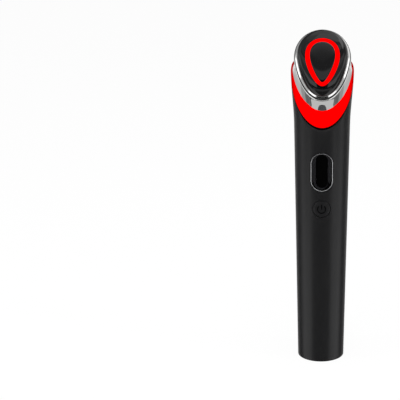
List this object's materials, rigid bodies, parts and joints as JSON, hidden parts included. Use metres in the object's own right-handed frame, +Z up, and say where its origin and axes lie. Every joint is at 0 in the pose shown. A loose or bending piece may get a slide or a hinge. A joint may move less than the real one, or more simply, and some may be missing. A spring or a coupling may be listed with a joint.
{
  "type": "led facial massager",
  "caption": "Hand-held facial massager: tapered wand with a slanted head, glossy face with a lit teardrop ring, lit band under a chrome ring, small display and power button",
  "frame": {"origin": "centre of the round base's lower face, on the wand's axis", "axes": "Z runs up the wand from its base to its head, -Y is the front, which carries the face, display and button, and X runs across"},
  "size_m": [0.033, 0.0329, 0.1814],
  "materials": {
    "shell_plastic": "fine matte moulded black",
    "inner_plastic": "plain grey moulding",
    "gloss_black": "polished black",
    "lit_red": "lit red light guide",
    "chrome_plate": "bright chrome plating",
    "frame_aluminium": "satin silver",
    "seal_rubber": "black rubber",
    "screw_steel": "plain steel",
    "plain_steel": "plated steel",
    "cell_steel": "blue sleeve over the cell's can",
    "board_laminate": "green laminate",
    "chip_resin": "black resin",
    "coil_iron": "dark ferrite",
    "led_resin": "pale clear resin",
    "flex_film": "amber film",
    "pin_brass": "plain brass"
  },
  "bodies": {
    "wand": {"body_shell": "shell_plastic", "base_cap": "shell_plastic", "base_seal": "seal_rubber", "base_screws": "screw_steel", "charging_socket": "plain_steel", "charge_board": "board_laminate", "link_pins": "pin_brass", "chassis": "inner_plastic", "battery_cell": "cell_steel", "battery_tabs": "plain_steel", "main_board": "board_laminate", "board_screws": "screw_steel", "board_chips": "chip_resin", "boost_coil": "coil_iron", "display_module": "chip_resin", "window_gasket": "seal_rubber", "display_frame": "frame_aluminium", "display_window": "gloss_black", "button_spring": "seal_rubber", "tact_switch": "plain_steel", "motor_bracket": "inner_plastic", "vibration_motor": "plain_steel", "head_frame": "inner_plastic", "band_flex": "flex_film", "band_leds": "led_resin", "light_band": "lit_red", "chrome_ring": "chrome_plate", "touch_sensor": "gloss_black", "head_board": "board_laminate", "head_leds": "led_resin", "head_screws": "screw_steel", "seam_gasket": "seal_rubber", "bezel_ring": "chrome_plate", "face_cover": "gloss_black", "led_ring": "lit_red", "centre_plate": "gloss_black", "head_ribbon": "flex_film"},
    "button": {"power_button": "shell_plastic", "switch_plunger": "inner_plastic"},
    "rotor": {"motor_shaft": "plain_steel", "eccentric_weight": "pin_brass"}
  },
  "joints": [
    {"name": "power_press", "type": "slide", "parent": "wand", "child": "button", "axis": [0, 1, 0], "range_m": [0, 0.0004], "stiffness_N_per_m": 800, "deforming": ["button_spring"]},
    {"name": "motor_spin", "type": "hinge", "parent": "wand", "child": "rotor", "pos_m": [0, 0.0032, 0.13], "axis": [0, 0, 1], "continuous": true}
  ]
}
